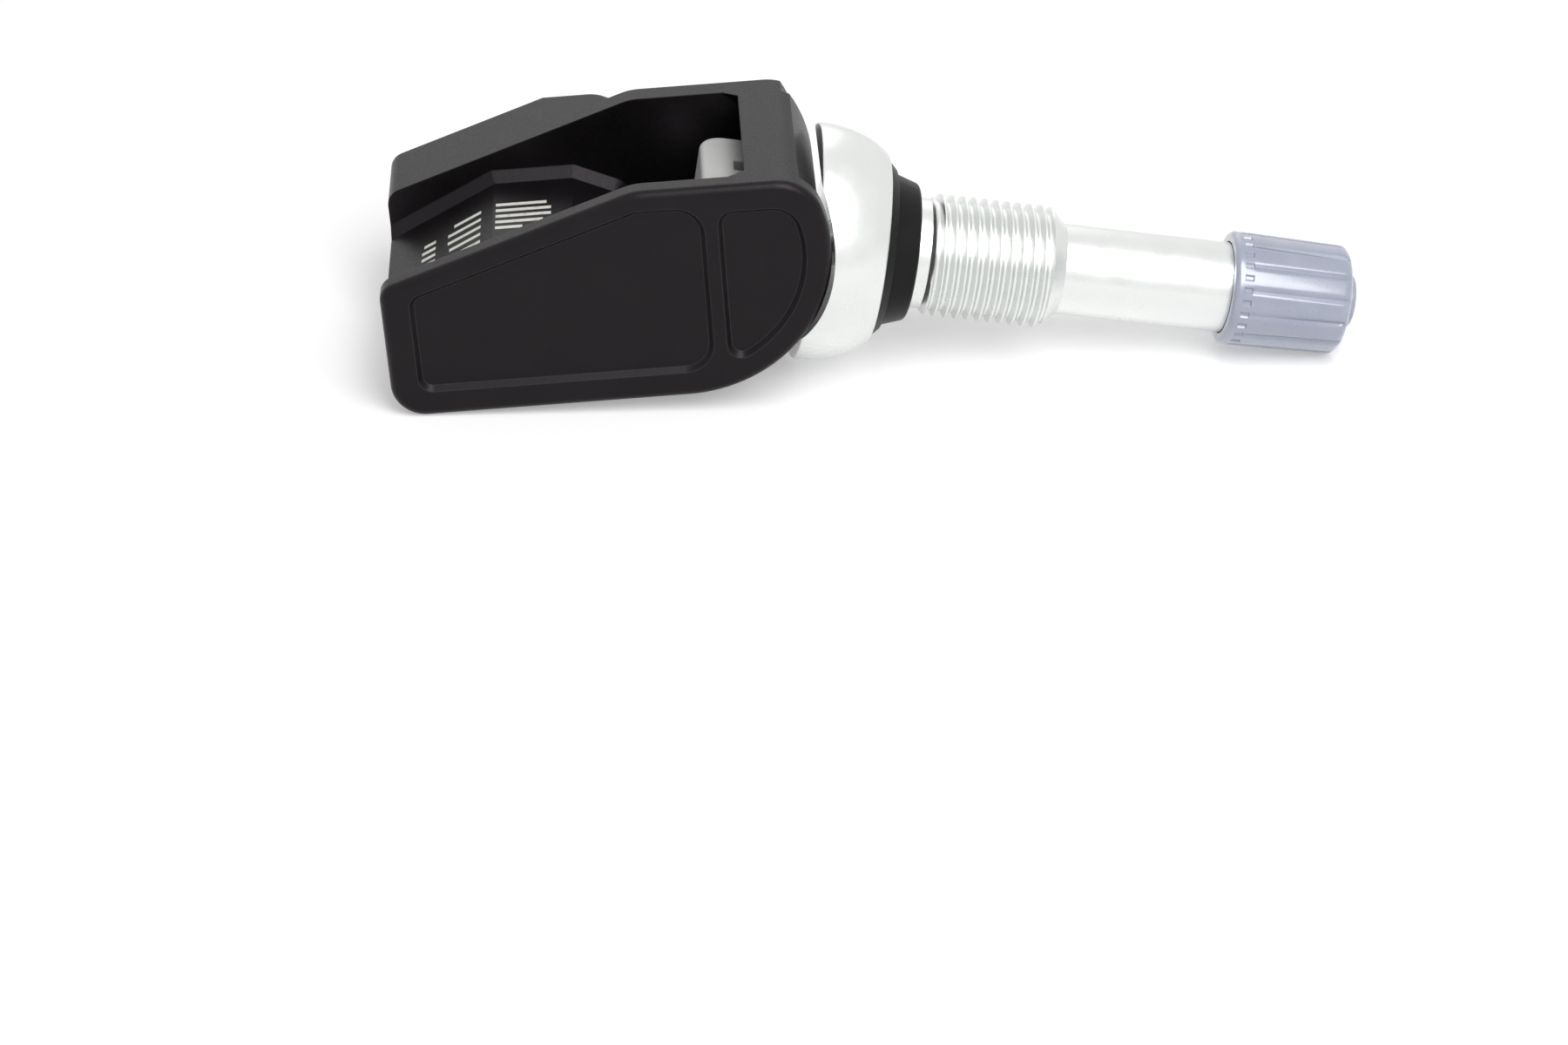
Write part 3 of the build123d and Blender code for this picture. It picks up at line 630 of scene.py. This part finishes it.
nub_rim = (cap_nub_end, cap_nub_radius)
end_rim = (cap_end, cap_end_radius)
mouth_rim = (cap_mouth, cap_radius)
skirt = [(station, cap_radius) for station in (cap_notch_end + notch_wall, cap_notch_end,
                                               cap_notch_start, cap_notch_start - notch_wall)]
cap_outline = [(cap_nub_end, 0), nub_rim, (cap_end, cap_nub_radius), end_rim, *skirt, mouth_rim,
               (cap_mouth, cap_mouth_bore), (cap_step, cap_mouth_bore), (cap_step, cap_bore),
               (cap_roof, cap_bore), (cap_roof, 0)]
cap_bm = bmesh.new()
lathe(cap_bm, cap_outline, [(nub_rim, cap_nub_edge), (end_rim, cap_edge), (mouth_rim, cap_mouth_edge)],
      groove_count * groove_columns)
bmesh.ops.remove_doubles(cap_bm, verts=cap_bm.verts, dist=seam / 100)
column_angle = tau / (groove_count * groove_columns)
for vert in cap_bm.verts:
    column = round(atan2(vert.co.y, vert.co.z) / column_angle) % groove_columns
    from_groove = abs(column - groove_columns / 2)
    from_notch = min(from_groove, groove_columns / 2 - from_groove)
    share = (vert.co.x - cap_notch_end) / (cap_end - cap_notch_end)
    if axis_distance(vert) < cap_mouth_bore + seam:
        continue
    if cap_notch_start - seam < vert.co.x < cap_notch_end + seam / 2 and from_notch <= 1:
        set_radius(vert, axis_distance(vert) - cap_notch_depth)
    elif share > 0 and from_groove < groove_reach:
        outer = cap_radius + (cap_end_radius - cap_radius) * share
        depth = groove_start_depth + (groove_end_depth - groove_start_depth) * share
        depth *= (1 + cos(pi * from_groove / groove_reach)) / 2
        set_radius(vert, min(axis_distance(vert), outer - depth))
cap_finish = moulded_finish("cap_plastic", cap_blue_grey, cap_pale, 0.27, 0.30, 0.08 * mm, 0.25 * mm,
                            0.001 * mm)
set_shader(cap_finish, Specular_IOR_Level=cap_shine, Coat_Weight=1, Coat_Roughness=cap_coat_roughness,
           Coat_IOR=cap_coat_index)
ribbed_cap = finished_piece("ribbed_cap", cap_bm, valve_place, "cap", cap_finish,
                            radians(35))
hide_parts("cap_shell")

# The set: a pale floor that keeps the object's shadow, a white surround, a softbox above and in front
# and a small lamp behind. The camera stands where the photograph was taken from.
floor_size = 6.0
floor_white = (0.86, 0.86, 0.86)
floor_lift = 0.36                # makes the lit floor white for the camera and in reflections
surround_fill = 0.30
lamps = [("softbox", (0.13, -0.30, 0.48), (0.30, 0.50), 2.5),
         ("back_lamp", (-0.05, 0.55, 0.34), (0.45, 0.45), 0.35)]
photo_width = 1800
photo_height = 1200
photo_focal = 4538               # pixels
photo_middle = (998, 260)        # pixel where the middle of the part lies
camera_distance = 0.3543
camera_azimuth = radians(-4.27)
camera_elevation = radians(27.0)
camera_roll = radians(0.56)
sensor_width = 36.0


def bare_rays(tree):
    """1 on camera, glossy and transmission rays, and 0 on the rays that light the object."""
    path = tree.nodes.new("ShaderNodeLightPath")
    total = path.outputs["Is Camera Ray"]
    for name in ("Is Glossy Ray", "Is Transmission Ray"):
        add = tree.nodes.new("ShaderNodeMath")
        add.operation = "MAXIMUM"
        tree.links.new(total, add.inputs[0])
        tree.links.new(path.outputs[name], add.inputs[1])
        total = add.outputs["Value"]
    return total


world = bpy.data.worlds.new("white_surround")
bpy.context.scene.world = world
world.use_nodes = True
backdrop = world.node_tree.nodes["Background"]
backdrop.inputs["Color"].default_value = (1, 1, 1, 1)
fill = world.node_tree.nodes.new("ShaderNodeMapRange")
world.node_tree.links.new(bare_rays(world.node_tree), fill.inputs["Value"])
fill.inputs["To Min"].default_value = surround_fill
fill.inputs["To Max"].default_value = 1.0
world.node_tree.links.new(fill.outputs["Result"], backdrop.inputs["Strength"])

floor_bm = bmesh.new()
bmesh.ops.create_grid(floor_bm, x_segments=1, y_segments=1, size=floor_size / 2)
floor_mesh = bpy.data.meshes.new("floor")
floor_bm.to_mesh(floor_mesh)
floor_bm.free()
floor = bpy.data.objects.new("floor", floor_mesh)
bpy.context.scene.collection.objects.link(floor)
floor_finish = new_finish("floor_paper", floor_white, 0, 0.9)
set_shader(floor_finish, Specular_IOR_Level=0, Emission_Color=(1, 1, 1, 1))
lift = floor_finish.node_tree.nodes.new("ShaderNodeMapRange")
floor_finish.node_tree.links.new(bare_rays(floor_finish.node_tree), lift.inputs["Value"])
lift.inputs["To Max"].default_value = floor_lift
feed(floor_finish, "Emission Strength", lift.outputs["Result"])
floor_mesh.materials.append(floor_finish)

middle = (cad_box[0] + cad_box[1]) / 2
for name, place, size, watts in lamps:
    lamp = bpy.data.lights.new(name, "AREA")
    lamp.shape = "RECTANGLE"
    lamp.size, lamp.size_y = size
    lamp.energy = watts
    lamp_object = bpy.data.objects.new(name, lamp)
    lamp_object.location = place
    lamp_object.rotation_euler = (middle - Vector(place)).to_track_quat("-Z", "Y").to_euler()
    bpy.context.scene.collection.objects.link(lamp_object)

camera_data = bpy.data.cameras.new("camera")
camera_data.sensor_width = sensor_width
camera_data.lens = photo_focal * sensor_width / photo_width
camera = bpy.data.objects.new("camera", camera_data)
bpy.context.scene.collection.objects.link(camera)
back = Vector((sin(camera_azimuth) * cos(camera_elevation), -cos(camera_azimuth) * cos(camera_elevation),
               sin(camera_elevation)))
right_of_axis = (photo_middle[0] - photo_width / 2) / photo_focal
above_axis = (photo_height / 2 - photo_middle[1]) / photo_focal
ray_length = sqrt(1 + right_of_axis**2 + above_axis**2)
look_down = asin(back.z * ray_length / hypot(1, above_axis)) + atan(above_axis)
ahead = cos(look_down) + above_axis * sin(look_down)
look_right = atan2(-back.x, -back.y) - atan2(right_of_axis, ahead)
camera.location = middle + back * camera_distance
looking = Matrix.Rotation(-look_right, 3, "Z") @ Matrix.Rotation(pi / 2 - look_down, 3, "X")
camera.rotation_euler = (looking @ Matrix.Rotation(camera_roll, 3, "Z")).to_euler()
bpy.context.scene.camera = camera
bpy.context.scene.view_settings.view_transform = "Standard"
